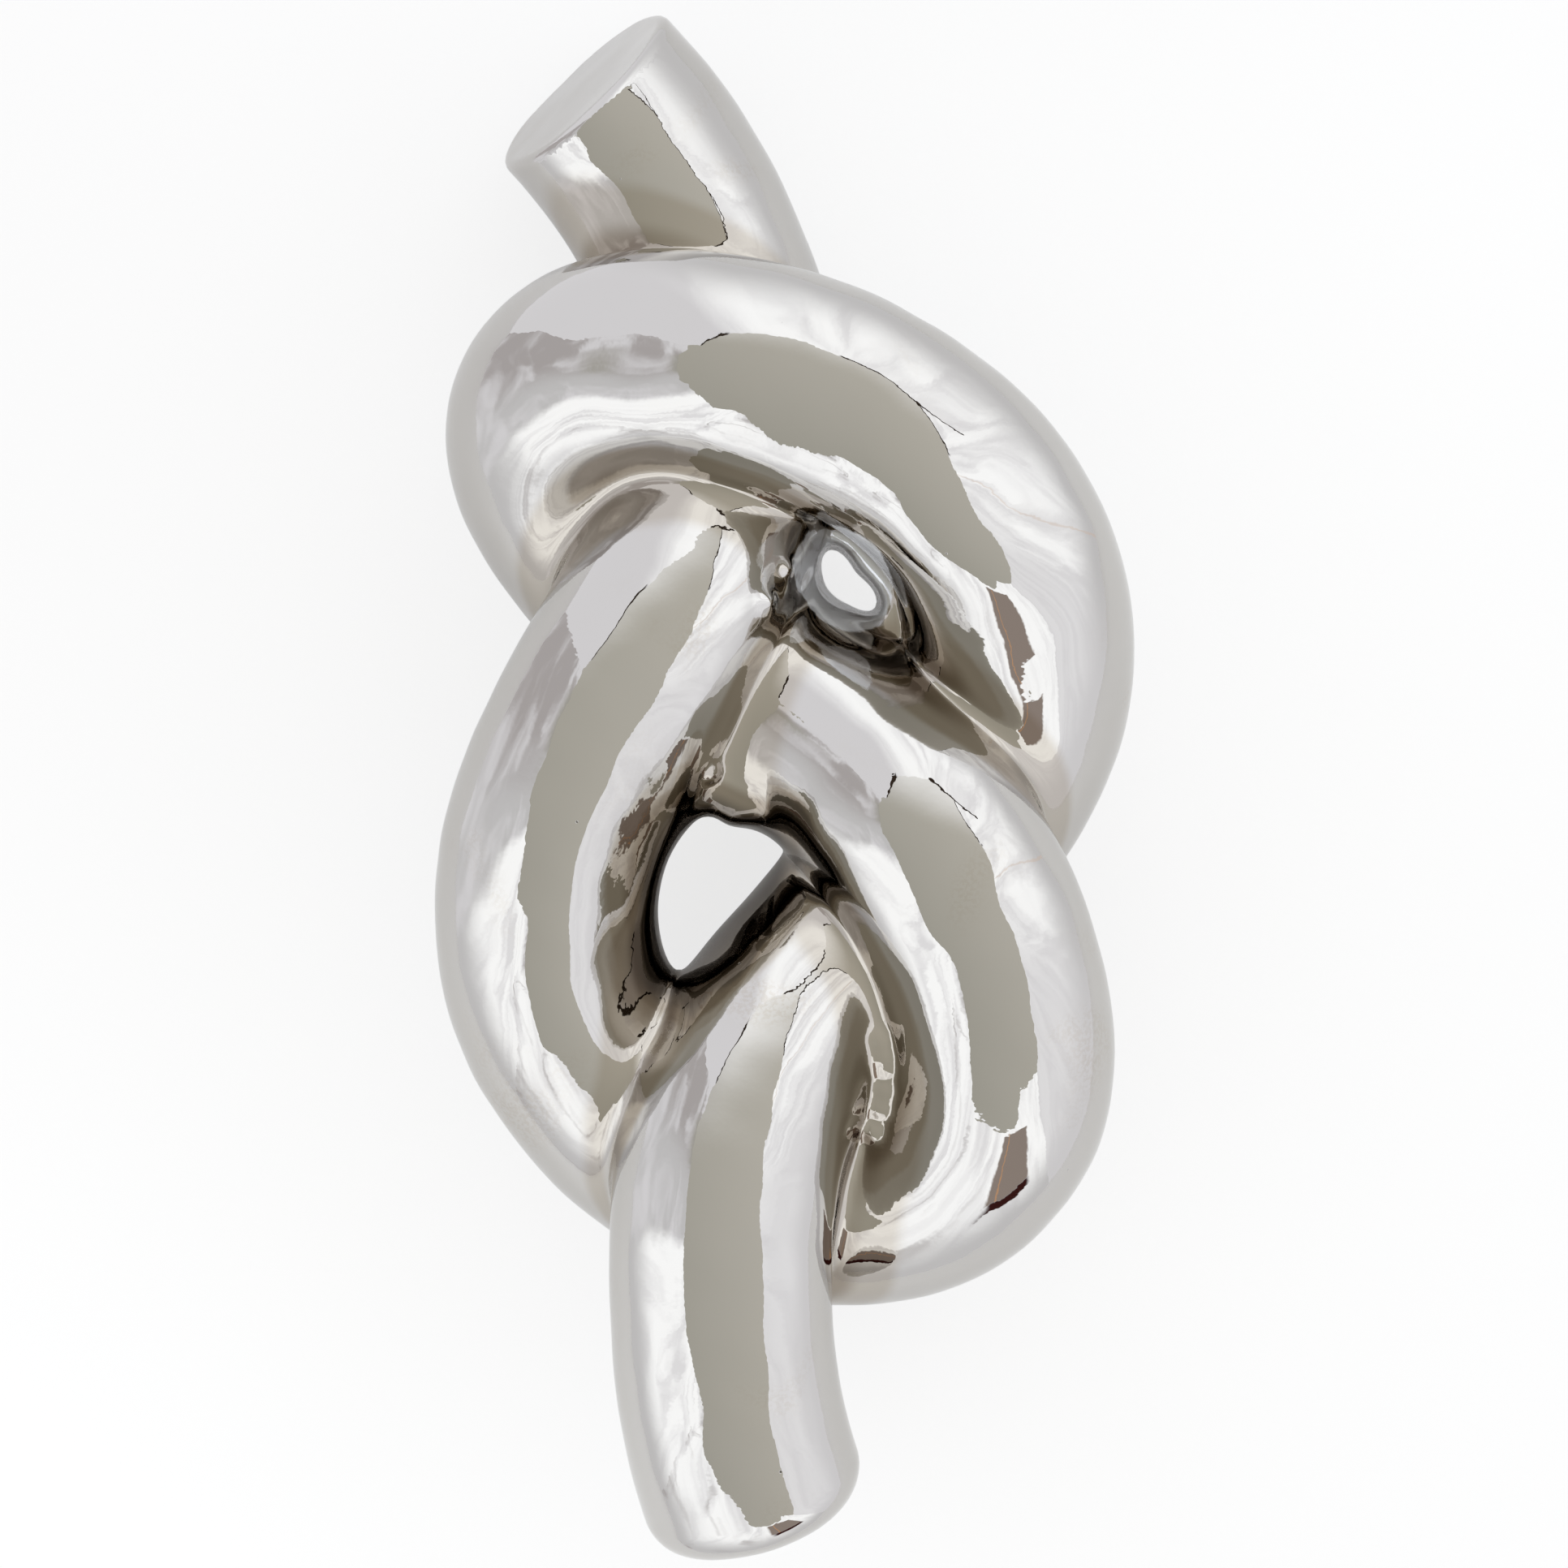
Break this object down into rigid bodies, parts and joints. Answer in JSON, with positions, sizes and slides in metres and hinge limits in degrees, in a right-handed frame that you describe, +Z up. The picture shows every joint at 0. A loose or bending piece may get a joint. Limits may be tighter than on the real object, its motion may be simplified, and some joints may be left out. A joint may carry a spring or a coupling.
{
  "type": "knot sculpture",
  "caption": "Free-standing ceramic ornament: a thick round strand tied in a loose knot, with open eyes between the strands and a mirror silver lustre glaze.",
  "frame": {"origin": "middle of the outline in plan, on the surface that the felt pads rest on", "axes": "+Y from the bottom tail to the top tail, +X to the right seen from above, +Z up"},
  "size_m": [0.1827, 0.4042, 0.1115],
  "materials": {
    "silver_lustre": "mirror-bright silver lustre over glaze, slightly warm, with fine hand-made ripples",
    "bare_ceramic": "fired slip, matt, out of sight",
    "felt": "thin dark felt"
  },
  "bodies": {
    "root": {"top_tail": "silver_lustre", "left_bight": "silver_lustre", "right_bight": "silver_lustre", "upper_bight": "silver_lustre", "bottom_tail": "silver_lustre", "fillet_upper": "silver_lustre", "fillet_middle": "silver_lustre", "fillet_right": "silver_lustre", "fillet_lower": "silver_lustre", "upper_web": "silver_lustre", "lower_web": "silver_lustre", "slip_wedge": "silver_lustre", "top_end_disc": "silver_lustre", "bottom_end_cap": "silver_lustre", "slip_joint_upper": "bare_ceramic", "slip_joint_lower": "bare_ceramic", "slip_joint_middle": "bare_ceramic", "slip_joint_right": "bare_ceramic", "felt_pad_1": "felt", "felt_pad_2": "felt", "felt_pad_3": "felt", "felt_pad_4": "felt"}
  },
  "joints": []
}
